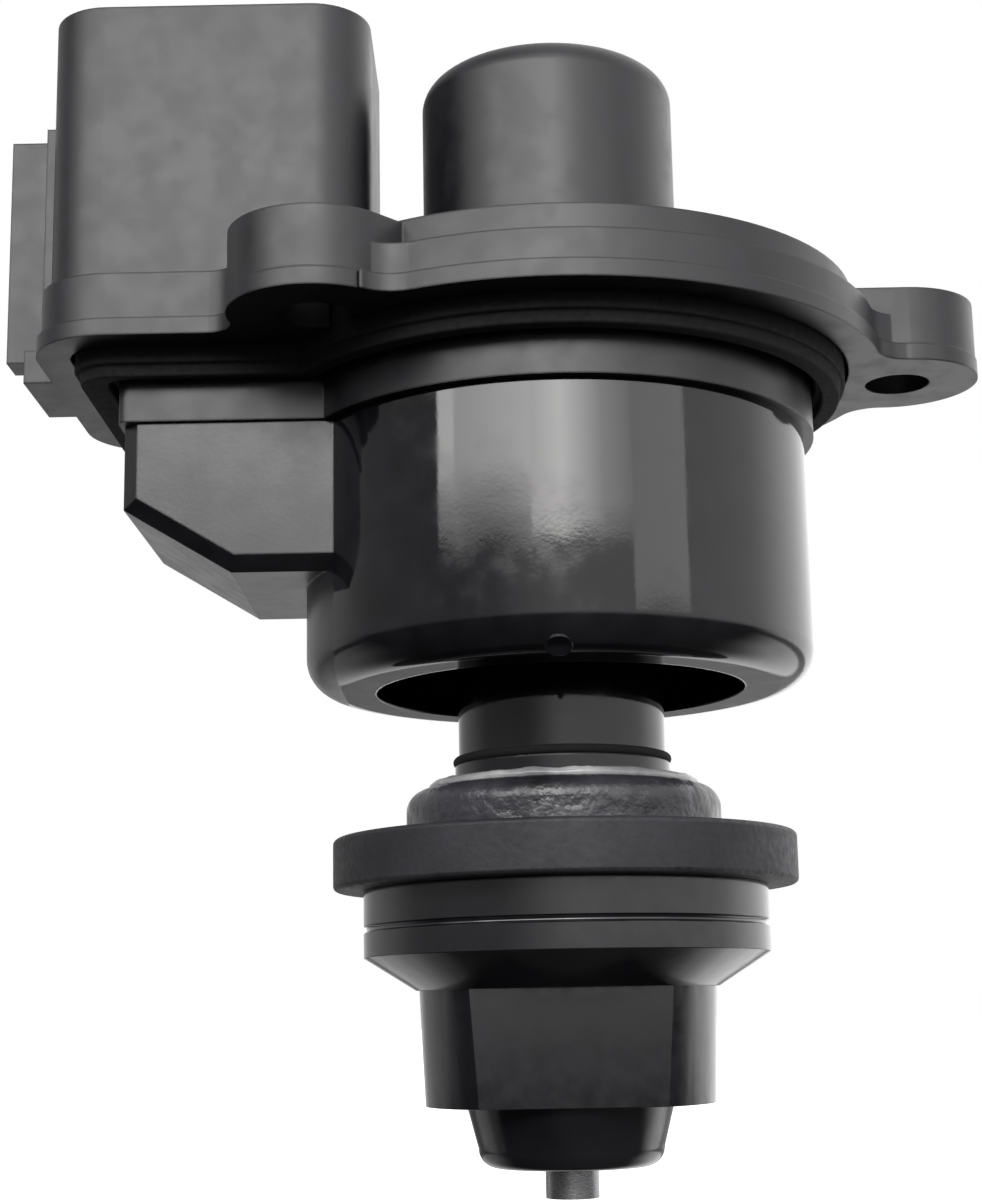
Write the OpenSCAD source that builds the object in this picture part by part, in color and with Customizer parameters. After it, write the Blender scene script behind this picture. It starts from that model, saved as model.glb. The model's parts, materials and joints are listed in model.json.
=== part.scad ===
// Idle air control valve with a stepper motor, plug end down.
// Origin: motor axis at the flange's mounting face. +Z points to the rear boss and the connector.

/* [Flange] */
// Thickness of the flange disc
plate_t = 3.6; // [3.2:0.1:4.4]
// Step in from the disc's edge to the raised tier
tier_step = 2; // [1.5:0.1:2.6]
// Height of the tier above the disc
tier_h = 2.4; // [2:0.1:4]
// Outline radius of each screw ear
ear_r = 6.2; // [5.4:0.1:6.8]
// Thickness of the screw ears
ear_t = 5.8; // [5:0.1:6.4]
// Radius of the screw holes
screw_hole_r = 2.5; // [2.2:0.05:2.8]
// Radius of the flat seat for each screw head
screw_seat_r = 4.6; // [4:0.1:5]
// Distance of the right screw hole outside the disc's edge
right_ear_out = 1.6; // [1:0.1:3]
// Distance of the two left screw holes behind the axis
left_ear_x = 17; // [16:0.1:18]
// Sideways distance of the two left screw holes
left_ear_y = 18.6; // [18:0.1:22]
// Fillet where an ear runs into the disc
ear_fillet = 3; // [1.5:0.1:5]
// Fillet where the left ears run into the wing
wing_fillet_r = 2; // [1:0.1:3]
// How far the lower lip stands out all round the flange
lip_out = 0.35; // [0.1:0.05:0.6]
// Height of the lower lip
lip_h = 1.3; // [0.8:0.1:2]
// How far the lip stands out past the raised ear pads
pad_lip_out = 0.1; // [0.05:0.05:0.3]
// Width of the flat rim outside the seal groove
rim_w = 2.5; // [2:0.1:2.8]

/* [Wing] */
// Thickness of the wing
wing_t = 4.8; // [4.4:0.1:6]
// Corner radius of the wing
wing_corner = 6; // [4.5:0.1:7]
// Reach of the nib beyond the wing
nib_out = 2.2; // [1:0.1:3]
// Width of the nib
nib_w = 9; // [6:0.1:12]
// Height of the nib
nib_h = 2.6; // [1.5:0.1:3]

/* [Rear boss] */
// Top of the rear boss above the mounting face
boss_top = 25.3; // [24:0.1:30]
// Rounding of the boss's top edge
boss_round = 2; // [1:0.1:2.4]
// Wall of the boss round its bearing
boss_wall = 2.4; // [1.8:0.1:2.6]

/* [Connector] */
// Distance of the connector's centre from the axis
conn_x = 26.05; // [26:0.05:27]
// Length of the connector shroud
conn_l = 24.5; // [23.5:0.1:24.6]
// Width of the connector shroud
conn_w = 20; // [18.5:0.1:23]
// Mouth of the connector above the mounting face
conn_top = 28.2; // [26:0.1:32]
// Wall of the shroud
conn_wall = 1.7; // [1.4:0.1:2]
// Corner radius of the shroud
conn_corner = 4.5; // [3:0.1:6]
// Depth of the socket
socket_depth = 16.5; // [14:0.1:18]
// Width of each coding rib in the socket
rib_w = 1.2; // [0.8:0.1:1.6]
// Height of each coding rib above the socket wall
rib_h = 0.8; // [0.5:0.1:1]
// Reach of the latch blade beyond the shroud
latch_out = 4.4; // [2:0.1:5]
// Thickness of the latch blade
latch_w = 3; // [2:0.1:5]
// Top of the latch blade above the mounting face
latch_top = 21; // [16:0.1:24]
// Reach of the pad behind the latch blade
pad_out = 1.1; // [0.5:0.1:1.6]
// Width of the pad behind the latch blade
pad_w = 8; // [6:0.1:10]

/* [Terminals] */
// Spacing of the terminals along the socket
pin_pitch = 3.4; // [3:0.1:3.5]
// Spacing of the two terminal rows
row_pitch = 5; // [4:0.1:5.4]
// Width of a terminal blade
pin_w = 1; // [0.8:0.05:1.2]
// Thickness of a terminal blade
pin_t = 0.8; // [0.5:0.05:1]
// Length of a terminal that shows in the socket
pin_show = 8.5; // [6:0.1:10]
// Depth of the terminals below the mounting face
pin_tail = 9; // [7:0.1:10]
// Free space between the outer terminals and the side block's wall
pin_room = 0.15; // [0.1:0.05:0.6]

/* [Skirt and seal] */
// Step out from the motor case to the skirt under the flange
skirt_out = 0.75; // [0.5:0.05:1]
// Depth of the skirt below the mounting face
skirt_h = 5; // [4:0.1:6]
// How far the skirt stands out past the side block
skirt_step = 0.35; // [0.2:0.05:0.6]
// Width of the seal groove round the disc
seal_w = 2.9; // [2.4:0.05:3.4]
// Width of the seal groove at the wing's end
seal_end_w = 3.65; // [3:0.05:4.2]
// Width of the seal groove along the wing's sides
seal_side_w = 2.45; // [2.2:0.05:3.2]
// Depth of the seal groove
groove_d = 2.2; // [1.6:0.1:2.4]
// How far the seal stands out of its groove
seal_proud = 2.1; // [1.4:0.1:2.4]
// Height of the seal's narrower bead
bead_h = 0.9; // [0.5:0.1:1]
// How much narrower the bead is on each side
bead_in = 0.45; // [0.3:0.05:0.6]

/* [Motor case] */
// Bottom of the motor case below the mounting face
case_bottom = 24; // [23:0.1:28]
// Rounding of the case's bottom edge
case_round = 2.6; // [1:0.1:3]
// Wall of the case
case_wall = 1.8; // [1.6:0.05:1.9]
// Floor of the case above the recess
floor_t = 1.8; // [1.5:0.1:2.4]
// Width of the recess round the neck
recess_w = 6.2; // [5:0.1:7]
// Depth of the recess
recess_depth = 4.5; // [3:0.1:5]
// Half width of the side block
block_y = 10; // [9:0.1:10.4]
// Bottom of the side block below the mounting face
block_bottom = 16.1; // [15:0.1:18]
// Where the side block's slope starts, from the axis
slope_x = 24; // [22:0.1:26]
// Where the side block's slope ends, below the mounting face
slope_z = 11.3; // [11:0.1:13]
// Corner radius of the side block
block_corner = 0.8; // [0.4:0.1:1.5]
// Bevel round the side block's front and back faces
block_bevel = 1.1; // [0.6:0.1:1.4]

/* [Neck] */
// End of the neck below the mounting face
neck_end = 30.9; // [30:0.1:34]
// Height of the lip at the neck's end
neck_lip_h = 1.3; // [0.8:0.1:2]
// How far the lip stands out
neck_lip_out = 0.3; // [0.1:0.05:0.6]
// Wall of the neck round the front bearing
neck_wall = 1.3; // [1.2:0.05:1.4]
// Length of the keyed guide at the neck's end
guide_l = 5.9; // [4:0.1:6.5]

/* [Bearings] */
// Width of the front bearing
front_w = 4; // [3.5:0.1:4.5]
// Width of the rear bearing
rear_w = 4.5; // [4:0.1:5]
// Thickness of the bearing rings
ring_t = 0.8; // [0.7:0.05:0.9]
// Number of balls in each bearing
ball_count = 9; // [7:1:10]
// Space between the front bearing's rings
front_race = 0.7; // [0.6:0.05:0.9]
// Space between the rear bearing's rings
rear_race = 1.8; // [1.5:0.05:2.2]
// Depth of a ball in each ring
ball_sink = 0.3; // [0.2:0.05:0.4]
// Play between a ball and its tracks
ball_play = 0.1; // [0.05:0.01:0.15]

/* [Stator] */
// Thickness of the pole sheet
sheet_t = 1; // [0.8:0.05:1.1]
// Number of claws on each pole sheet
claw_count = 6; // [5:1:8]
// Width of a claw at its root
claw_root = 4.4; // [3.5:0.1:5]
// Width of a claw at its tip
claw_tip = 2.4; // [1.8:0.1:3]
// Gap between claw tips and the facing sheet
claw_gap = 0.8; // [0.5:0.1:1.5]
// Wall of the coil bobbins
bobbin_wall = 0.8; // [0.6:0.05:1]
// Depth of the winding space round each bobbin
winding_depth = 3.75; // [3.2:0.05:4.2]
// Width of the lead-out lug on each bobbin
lug_w = 7; // [5:0.1:9]
// Thickness of the lead-out lug
lug_t = 1.6; // [1.2:0.1:2]
// Reach of the lead-out lug beyond the stator
lug_out = 3.6; // [2.6:0.1:4]

/* [Rotor] */
// Thickness of the rotor magnet from the hub outwards
magnet_t = 4.4; // [3.6:0.1:4.8]
// Running gap between the magnet and the claws
air_gap = 0.35; // [0.3:0.01:0.5]
// Wall of the rotor hub inside its bearings
journal_wall = 0.4; // [0.3:0.05:0.6]
// Step out from the bearings' bore to the hub's shoulders
shoulder_out = 0.7; // [0.4:0.05:0.8]
// Step out from the shoulders to the hub in the magnet
hub_out = 1.1; // [0.8:0.05:1.5]
// Free space between the magnet and the stator's end faces
magnet_end = 1.5; // [1:0.1:2]
// Clearance of the hub's bore round the keyed stem
stem_room = 0.3; // [0.2:0.05:0.5]
// Free space between the keyed stem and the nut thread
nut_room = 3; // [2:0.1:4]

/* [Lead screw] */
// Outer radius of the lead screw's thread
thread_r = 3; // [2.8:0.05:3.1]
// How far the keyed stem stands out past the thread
key_out = 0.5; // [0.4:0.05:0.7]
// Top of the lead screw above the mounting face
screw_top = 20; // [16:0.1:21]
// Chamfer at the lead screw's upper end
screw_chamfer = 0.75; // [0.4:0.05:1]
// Top of the keyed stem below the mounting face
stem_top = 16; // [15.5:0.1:17]
// Radius of the pilot that ends as the tip
tip_r = 1.95; // [1.6:0.05:2.3]
// End of the tip below the mounting face
tip_end = 61; // [60:0.1:64]
// How far the keyed stem is sunk into the plug
stem_sunk = 2.1; // [1.5:0.1:3]

/* [Plug] */
// Gap between the neck and the plug at rest
plug_gap = 0.5; // [0.3:0.05:1]
// Radius of the collar
collar_r = 11.8; // [11:0.1:13]
// Height of the collar
collar_h = 3.6; // [3:0.1:5]
// Rounding of the collar's top edge
collar_round = 1.6; // [0.8:0.1:2]
// Radius of the rubber seat disc
seat_r = 17.3; // [16:0.1:18]
// Thickness of the rubber seat disc
seat_t = 3.8; // [3:0.1:5]
// Radius of the plug's head
head_r = 15.05; // [14:0.05:15.8]
// Height of the plug's head
head_h = 4.9; // [4:0.1:6]
// Height of the cone under the head
cone_h = 2.4; // [1.5:0.1:3]
// Radius of the cone's lower end
cone_r = 11.2; // [10:0.1:12]
// Depth of the fine line round the head
line_d = 0.25; // [0.1:0.05:0.4]
// Radius of the barrel under the cone at its top
barrel_top_r = 11; // [10:0.1:11.1]
// Radius of the barrel at its bottom
barrel_end_r = 10.6; // [9.6:0.1:10.9]
// Length of the barrel
barrel_l = 8.3; // [6:0.1:10]
// How far the barrel's front and back flats stand out past the nose
barrel_flat_out = 0.7; // [0.4:0.1:1.4]
// Radius of the nose where it leaves the barrel
nose_top_r = 7.6; // [7:0.1:8]
// Radius of the nose at its end
nose_r = 6.8; // [6.2:0.1:7.5]
// Length of the nose below the barrel
nose_l = 4.4; // [3:0.1:6]
// Rounding of the nose's end
nose_round = 1.4; // [0.8:0.1:2]
// Width of the collar's ring round the plug's hub
collar_w = 4.8; // [4:0.1:5.6]

/* [Hidden] */
$fn = 96;
// Clearance of pieces that are fitted and don't move
seat_gap = 0.05;
// Clearance of a shaft that runs or slides in a bore
run_gap = 0.05;
// Overlap that joins two forms of one moulding
merge = 0.5;

// Levels along Z
plate_top = plate_t;
tier_top = plate_t + tier_h;
roof_t = 2.2;
ceiling_z = tier_top - roof_t;
recess_top = -case_bottom + recess_depth;
floor_top = recess_top + floor_t;
socket_floor = conn_top - socket_depth;
rear_top = ceiling_z + rear_w;
front_bottom = floor_top - front_w;
guide_top = -neck_end + guide_l;
case_top = -skirt_h;

// Radii from the screw outwards: keyed stem, hub, magnet, claws, bobbin, winding, pole cup, case and flange
stem_flat = thread_r;
stem_r = thread_r + key_out;
bearing_bore = stem_r + stem_room + journal_wall;
shoulder_r = bearing_bore + shoulder_out;
hub_r = shoulder_r + hub_out;
magnet_r = hub_r + magnet_t;
claw_r = magnet_r + air_gap;
bobbin_r = claw_r + sheet_t + seat_gap;
bobbin_out = bobbin_r + bobbin_wall + winding_depth;
stator_r = bobbin_out + seat_gap + sheet_t;
inside_r = stator_r + seat_gap;
case_r = inside_r + case_wall;
skirt_r = case_r + skirt_out;
disc_r = skirt_r + seal_w + rim_w;
tier_r = disc_r - tier_step;
right_ear_x = disc_r + right_ear_out;
lug_x = stator_r + lug_out;

// Reach of the side block round the terminals
block_x = conn_x + pin_pitch + pin_w / 2 + pin_room + case_wall;

// Reach and half width of the flange wing, round the side block's skirt and its seal groove
wing_x = block_x + skirt_step + seal_end_w + rim_w;
wing_y = block_y + skirt_step + seal_side_w + rim_w;

// Register that centres the case in the skirt
register_h = 1.2;
register_t = 0.8;

// Bearings from their bore outwards, and the neck and boss round them
front_r = bearing_bore + 2 * ring_t + front_race;
rear_r = bearing_bore + 2 * ring_t + rear_race;
front_ball_r = front_race / 2 + ball_sink;
rear_ball_r = rear_race / 2 + ball_sink;
neck_r = front_r + neck_wall;
boss_r = rear_r + boss_wall;
recess_r = neck_r + recess_w;

// Lower faces and ring widths of the bearings
rear_z = ceiling_z + seat_gap;
rear_ring_w = rear_w - 2 * seat_gap;
front_z = front_bottom + seat_gap;
front_ring_w = front_w - 2 * seat_gap;

// Stator levels
stack_bottom = floor_top + seat_gap;
stack_top = ceiling_z - seat_gap;
half_h = (stack_top - stack_bottom) / 2;
stack_mid = stack_bottom + half_h;
bobbin_h = half_h - 2 * sheet_t - 2 * seat_gap;
claw_l = half_h - sheet_t - claw_gap;

// Rotor and plug levels, and the hub that carries the collar and the seat disc
magnet_bottom = stack_bottom + magnet_end;
magnet_top = stack_top - magnet_end;
nut_bottom = -stem_top + nut_room;
collar_top = -neck_end - plug_gap;
plug_hub_r = collar_r - collar_w;
seat_top = collar_top - collar_h;
head_top = seat_top - seat_t;
head_bottom = head_top - head_h;
cone_bottom = head_bottom - cone_h;
barrel_bottom = cone_bottom - barrel_l;
nose_bottom = barrel_bottom - nose_l;

// Fillet arcs cut this much deeper than touching, so each meets its neighbours at a clear corner
fillet_nick = 0.01;

// Screw ears: distance and direction of each hole from the axis
left_ear_d = norm([left_ear_x, left_ear_y]);
left_ear_a = atan2(left_ear_y, left_ear_x);
EARS = [[right_ear_x, 0], [left_ear_d, 180 - left_ear_a], [left_ear_d, 180 + left_ear_a]];

// Terminal places: three along the socket in two rows
PINS = [for (row = [-1, 1]) for (i = [-1, 0, 1]) [-conn_x + i * pin_pitch, row * row_pitch / 2]];

HOUSING = "#26262a";
RUBBER = "#1b1b1c";
STEEL = "#9a9ca0";
NYLON = "#d8d2bf";

// Plain outlines

// A tongue that reaches from the axis to -x, with rounded far corners
module tongue(x, y, corner) {
    translate([-x + corner, -y]) square([x - corner, 2 * y]);
    translate([-x, -y + corner]) square([corner + merge, 2 * (y - corner)]);
    for (side = [-1, 1]) translate([-x + corner, side * (y - corner)]) circle(corner);
}

// A round with a tongue: the keyhole outline that the skirt, seal and case share
module keyhole(r, x, y, corner) {
    circle(r);
    tongue(x, y, corner);
}

module rounded_rect(l, w, corner) {
    square([l - 2 * corner, w], center = true);
    square([l, w - 2 * corner], center = true);
    for (sx = [-1, 1]) for (sy = [-1, 1])
        translate([sx * (l / 2 - corner), sy * (w / 2 - corner)]) circle(corner);
}

module case_outline(inset) {
    keyhole(case_r - inset, block_x - inset, block_y - inset, max(block_corner - inset, 0.2));
}

module skirt_outline(grow = 0) {
    keyhole(skirt_r + grow, block_x + skirt_step + grow, block_y + skirt_step + grow, block_corner + grow);
}

module groove_outline(inset = 0) {
    keyhole(
        disc_r - rim_w - inset,
        wing_x - rim_w - inset,
        wing_y - rim_w - inset,
        wing_corner - rim_w - inset
    );
}

// One ear along +X: round end, straight sides and a concave fillet to the disc on each side
module ear_outline(d, inset) {
    w = ear_r - inset;
    f = ear_fillet + inset;
    fx = sqrt(pow(disc_r - inset + f, 2) - pow(w + f, 2));
    translate([d, 0]) circle(w);
    translate([0, -w]) square([d, 2 * w]);
    for (side = [0, 1]) mirror([0, side]) difference() {
        polygon([[0, 0], [fx, w], [fx, w + f]]);
        translate([fx, w + f]) circle(f + fillet_nick);
    }
}

// The fillet between the wing's long side and the left ear
module wing_fillet(inset) {
    f = wing_fillet_r + inset;
    fy = wing_y - inset + f;
    fx = left_ear_x + sqrt(pow(ear_r - inset + f, 2) - pow(left_ear_y - fy, 2));
    for (side = [0, 1]) mirror([0, side]) difference() {
        polygon([[-fx, fy - f - merge], [-fx, fy], [-left_ear_x, left_ear_y], [-left_ear_x, fy - f - merge]]);
        translate([-fx, fy]) circle(f + fillet_nick);
    }
}

module wing_outline(inset) {
    tongue(wing_x - inset, wing_y - inset, wing_corner - inset);
    wing_fillet(inset);
}

module flange_outline(inset) {
    circle(disc_r - inset);
    wing_outline(inset);
    for (ear = EARS) rotate(ear[1]) ear_outline(ear[0], inset);
}

// The raised pad of an ear, from its round end back to the tier's wall
module ear_pad_outline(d, inset) {
    translate([d, 0]) circle(ear_r - inset);
    translate([tier_r - ear_r, inset - ear_r]) square([d - tier_r + ear_r, 2 * (ear_r - inset)]);
}

module stem_outline(grow) {
    intersection() {
        circle(stem_r + grow);
        square([2 * (stem_flat + grow), 3 * stem_r], center = true);
    }
}

module band(z, h) {
    translate([0, 0, z]) linear_extrude(h) children();
}

// Upper housing: flange, tier, rear boss, connector and skirt in one moulding

module flange_form() {
    band(0, lip_h) flange_outline(0);
    band(0, plate_t) flange_outline(lip_out);
    band(0, wing_t) wing_outline(lip_out);
    band(0, tier_top) circle(tier_r);
    for (ear = EARS) rotate(ear[1]) band(0, ear_t) ear_pad_outline(ear[0], pad_lip_out);
    band(0, nib_h) translate([-wing_x - nib_out, -nib_w / 2]) square([nib_out + wing_corner, nib_w]);
    band(case_top, skirt_h + merge) skirt_outline();
}

module boss_form() {
    rotate_extrude() {
        translate([0, merge]) square([boss_r, boss_top - boss_round - merge]);
        square([boss_r - boss_round, boss_top]);
        translate([boss_r - boss_round, boss_top - boss_round]) circle(boss_round);
    }
}

module connector_form() {
    band(merge, conn_top - merge) translate([-conn_x, 0]) rounded_rect(conn_l, conn_w, conn_corner);
    far = conn_x + conn_l / 2;
    band(nib_h, latch_top - nib_h) {
        translate([-far - latch_out, -latch_w / 2]) square([latch_out + merge, latch_w]);
        translate([-far - pad_out, -pad_w / 2]) square([pad_out + merge, pad_w]);
    }
}

module socket_cut() {
    in_l = conn_l - 2 * conn_wall;
    in_w = conn_w - 2 * conn_wall;
    band(socket_floor, socket_depth + merge) translate([-conn_x, 0]) difference() {
        rounded_rect(in_l, in_w, conn_corner - conn_wall);
        for (i = [-1, 1]) translate([i * in_l / 4 - rib_w / 2, in_w / 2 - rib_h]) square([rib_w, rib_h + merge]);
        translate([-rib_w / 2, -in_w / 2 - merge]) square([rib_w, rib_h + merge]);
    }
}

module motor_cut() {
    band(case_top - merge, ceiling_z - case_top + merge) circle(inside_r);
    band(case_top - merge, -case_top + merge)
        tongue(block_x - case_wall, block_y - case_wall, block_corner);
    band(case_top - merge, register_h + seat_gap + merge) case_outline(case_wall - register_t - seat_gap);
    translate([0, 0, ceiling_z - merge]) cylinder(r = rear_r + seat_gap, h = rear_w + merge);
    translate([0, 0, rear_top - merge])
        cylinder(r = bearing_bore + ring_t + seat_gap, h = boss_top - boss_wall - rear_top + merge);
}

module upper_housing() {
    color(HOUSING) difference() {
        union() {
            flange_form();
            boss_form();
            connector_form();
        }
        band(-skirt_h - merge, groove_d + skirt_h + merge) difference() {
            groove_outline();
            skirt_outline();
        }
        socket_cut();
        motor_cut();
        for (ear = EARS) rotate(ear[1]) translate([ear[0], 0, 0]) {
            translate([0, 0, -merge]) cylinder(r = screw_hole_r, h = tier_top + 2 * merge);
            translate([0, 0, ear_t]) cylinder(r = screw_seat_r, h = tier_top);
        }
        for (pin = PINS) translate([pin[0], pin[1], 0])
            cube([pin_w + 2 * seat_gap, pin_t + 2 * seat_gap, 2 * conn_top], center = true);
    }
}

// Motor case: round can with the side block, bottom recess and guide neck in one moulding

module case_profile() {
    difference() {
        union() {
            translate([0, -case_bottom + case_round]) square([case_r, case_bottom + case_top - case_round]);
            translate([0, -case_bottom]) square([case_r - case_round, case_round + merge]);
            translate([case_r - case_round, -case_bottom + case_round]) circle(case_round);
        }
        translate([0, -case_bottom - merge]) square([recess_r, recess_depth + merge]);
    }
    translate([0, -neck_end + merge]) square([neck_r, neck_end + recess_top]);
    translate([0, -neck_end]) square([neck_r + neck_lip_out, neck_lip_h]);
}

// The side block's section, seen along Y, moved in by its wall
module block_section(inset) {
    slope = atan2(block_bottom - slope_z, block_x - slope_x);
    polygon([
        [0, case_top + merge],
        [-block_x + inset, case_top + merge],
        [-block_x + inset, -slope_z + inset * tan((90 - slope) / 2)],
        [-slope_x + inset * tan(slope / 2), -block_bottom + inset],
        [0, -block_bottom + inset]
    ]);
}

// A slab of that section, symmetric about the XZ plane
module block_slab(inset, half_w) {
    rotate([90, 0, 0]) translate([0, 0, -half_w]) linear_extrude(2 * half_w) block_section(inset);
}

module block_form() {
    intersection() {
        hull() {
            block_slab(block_bevel, block_y);
            block_slab(0, block_y - block_bevel);
        }
        band(-case_bottom, case_bottom + case_top) tongue(block_x, block_y, block_corner);
    }
}

module motor_case() {
    color(HOUSING) difference() {
        union() {
            rotate_extrude() case_profile();
            block_form();
            band(case_top - merge, register_h + merge) difference() {
                case_outline(case_wall - register_t);
                case_outline(case_wall);
            }
        }
        band(floor_top, case_top - floor_top + merge) circle(inside_r);
        block_slab(case_wall, block_y - case_wall);
        translate([0, 0, front_bottom]) cylinder(r = front_r + seat_gap, h = front_w + merge);
        translate([0, 0, guide_top])
            cylinder(r = bearing_bore + ring_t + seat_gap, h = front_bottom - guide_top + merge);
        band(-neck_end - merge, guide_l + 2 * merge) stem_outline(run_gap);
    }
}

// Body seal: a moulded rubber ring of keyhole outline with a narrower sealing bead

module body_seal() {
    side_gap = 0.3;
    color(RUBBER) {
        band(-seal_proud + bead_h, groove_d + seal_proud - bead_h - seat_gap) difference() {
            groove_outline(side_gap);
            skirt_outline(side_gap);
        }
        band(-seal_proud, bead_h) difference() {
            groove_outline(side_gap + bead_in);
            skirt_outline(side_gap + bead_in);
        }
    }
}

// Terminals: straight blades through the socket floor into the side block

module terminal(index) {
    pin = PINS[index - 1];
    blade_h = socket_floor + pin_show + pin_tail;
    point = pin_t / 2;
    color(STEEL) translate([pin[0], pin[1], -pin_tail]) {
        translate([-pin_w / 2, -pin_t / 2]) cube([pin_w, pin_t, blade_h - point]);
        rotate([90, 0, 90]) translate([0, 0, -pin_w / 2]) linear_extrude(pin_w)
            polygon([
                [-pin_t / 2, blade_h - point], [pin_t / 2, blade_h - point],
                [pin_t / 5, blade_h], [-pin_t / 5, blade_h]
            ]);
    }
}

// Stator: two claw-pole halves, each a cup and a plate round a wound bobbin.
// The lower half is drawn and the upper half is its mirror image about the stack's middle.

module upper_half() {
    translate([0, 0, 2 * stack_mid]) mirror([0, 0, 1]) children();
}

// A ring of tapered claws that point up from z, or down where up is -1
module claws(z, up, turn) {
    intersection() {
        translate([0, 0, min(z, z + up * claw_l)]) difference() {
            cylinder(r = claw_r + sheet_t, h = claw_l);
            translate([0, 0, -merge]) cylinder(r = claw_r, h = claw_l + 2 * merge);
        }
        for (i = [0 : claw_count - 1]) rotate(turn + i * 360 / claw_count)
            translate([0, 0, z]) rotate([90, 0, 90]) linear_extrude(2 * claw_r)
                polygon([
                    [-claw_root / 2, -up * merge], [claw_root / 2, -up * merge],
                    [claw_tip / 2, up * (claw_l + merge)], [-claw_tip / 2, up * (claw_l + merge)]
                ]);
    }
}

module pole_cup() {
    notch = sheet_t + lug_t + 3 * seat_gap;
    color(STEEL) union() {
        difference() {
            translate([0, 0, stack_bottom]) cylinder(r = stator_r, h = half_h - seat_gap / 2);
            translate([0, 0, stack_bottom + sheet_t]) cylinder(r = stator_r - sheet_t, h = half_h);
            translate([0, 0, stack_bottom - merge]) cylinder(r = claw_r, h = half_h);
            translate([-2 * stator_r, -lug_w / 2 - seat_gap, stack_mid - notch])
                cube([2 * stator_r, lug_w + 2 * seat_gap, notch + merge]);
        }
        claws(stack_bottom + sheet_t - merge, 1, 0);
    }
}

module pole_plate() {
    color(STEEL) union() {
        translate([0, 0, stack_mid - sheet_t]) difference() {
            cylinder(r = stator_r - sheet_t - seat_gap, h = sheet_t - seat_gap / 2);
            translate([0, 0, -merge]) cylinder(r = claw_r, h = sheet_t + 2 * merge);
        }
        claws(stack_mid - sheet_t + merge, -1, 180 / claw_count);
    }
}

module bobbin() {
    z = stack_bottom + sheet_t + seat_gap;
    lug_z = z + bobbin_h - lug_t;
    color(NYLON) difference() {
        union() {
            translate([0, 0, z]) cylinder(r = bobbin_r + bobbin_wall, h = bobbin_h);
            for (flange_z = [z, z + bobbin_h - bobbin_wall])
                translate([0, 0, flange_z]) cylinder(r = bobbin_out, h = bobbin_wall);
            translate([-lug_x, -lug_w / 2, lug_z]) cube([lug_x - bobbin_r, lug_w, lug_t]);
        }
        translate([0, 0, z - merge]) cylinder(r = bobbin_r, h = bobbin_h + 2 * merge);
    }
}

module coil() {
    z = stack_bottom + sheet_t + bobbin_wall + 2 * seat_gap;
    h = bobbin_h - bobbin_wall - lug_t - 2 * seat_gap;
    color("#8a4b22") translate([0, 0, z]) difference() {
        cylinder(r = bobbin_out - seat_gap - bobbin_wall / 2, h = h);
        translate([0, 0, -merge]) cylinder(r = bobbin_r + bobbin_wall + seat_gap, h = h + 2 * merge);
    }
}

// Ball bearings: rings with a round track, and the balls between them

module bearing_ring(r_in, r_out, w, pitch, ball) {
    color(STEEL) rotate_extrude() difference() {
        translate([r_in, 0]) square([r_out - r_in, w]);
        translate([pitch, w / 2]) circle(ball + ball_play);
    }
}

module bearing_balls(pitch, ball, w) {
    color(STEEL) for (i = [0 : ball_count - 1]) rotate(i * 360 / ball_count)
        translate([pitch, 0, w / 2]) sphere(ball, $fn = 24);
}

// Middle of a bearing's ball track
function ball_pitch(r) = (r + bearing_bore) / 2;

module outer_ring(z, w, r, ball) {
    translate([0, 0, z]) bearing_ring(r - ring_t, r, w, ball_pitch(r), ball);
}

module inner_ring(z, w, r, ball) {
    translate([0, 0, z]) bearing_ring(bearing_bore, bearing_bore + ring_t, w, ball_pitch(r), ball);
}

module ball_set(z, w, r, ball) {
    translate([0, 0, z]) bearing_balls(ball_pitch(r), ball, w);
}

// Rotor: moulded hub with the nut thread inside, and its ring magnet

module rotor_hub() {
    journal = bearing_bore - seat_gap / 2;
    low = front_bottom + seat_gap;
    high = rear_top - seat_gap;
    color(NYLON) rotate_extrude() difference() {
        union() {
            translate([0, low]) square([journal, high - low]);
            translate([0, floor_top]) square([shoulder_r, ceiling_z - floor_top]);
            translate([0, magnet_bottom]) square([hub_r, magnet_top - magnet_bottom]);
        }
        translate([-merge, low - merge]) square([thread_r + run_gap + merge, high - low + 2 * merge]);
        translate([0, low - merge]) square([stem_r + stem_room, nut_bottom - low + merge]);
    }
}

module rotor_magnet() {
    bevel = 0.6;
    color("#3a3a3e") rotate_extrude() difference() {
        translate([hub_r + seat_gap, magnet_bottom])
            square([magnet_r - hub_r - seat_gap, magnet_top - magnet_bottom]);
        for (end = [magnet_bottom, magnet_top]) translate([magnet_r, end]) rotate(45)
            square(bevel * sqrt(2), center = true);
    }
}

// Plug: lead screw with keyed stem, collar, rubber seat disc and stepped body

module lead_screw() {
    stem_end = collar_top - stem_sunk;
    color(STEEL) union() {
        translate([0, 0, -stem_top - merge])
            cylinder(r = thread_r, h = screw_top + stem_top - screw_chamfer + merge);
        translate([0, 0, screw_top - screw_chamfer])
            cylinder(r1 = thread_r, r2 = thread_r - screw_chamfer, h = screw_chamfer);
        band(stem_end, -stem_top - stem_end) stem_outline(0);
        translate([0, 0, -tip_end]) cylinder(r = tip_r, h = tip_end + stem_end + merge);
    }
}

module plug_collar() {
    color(RUBBER) rotate_extrude() difference() {
        union() {
            translate([0, seat_top]) square([collar_r, collar_h - collar_round]);
            translate([0, seat_top]) square([collar_r - collar_round, collar_h]);
            translate([collar_r - collar_round, collar_top - collar_round]) circle(collar_round);
        }
        translate([-merge, seat_top - merge]) square([plug_hub_r + seat_gap + merge, collar_h + 2 * merge]);
    }
}

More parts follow.
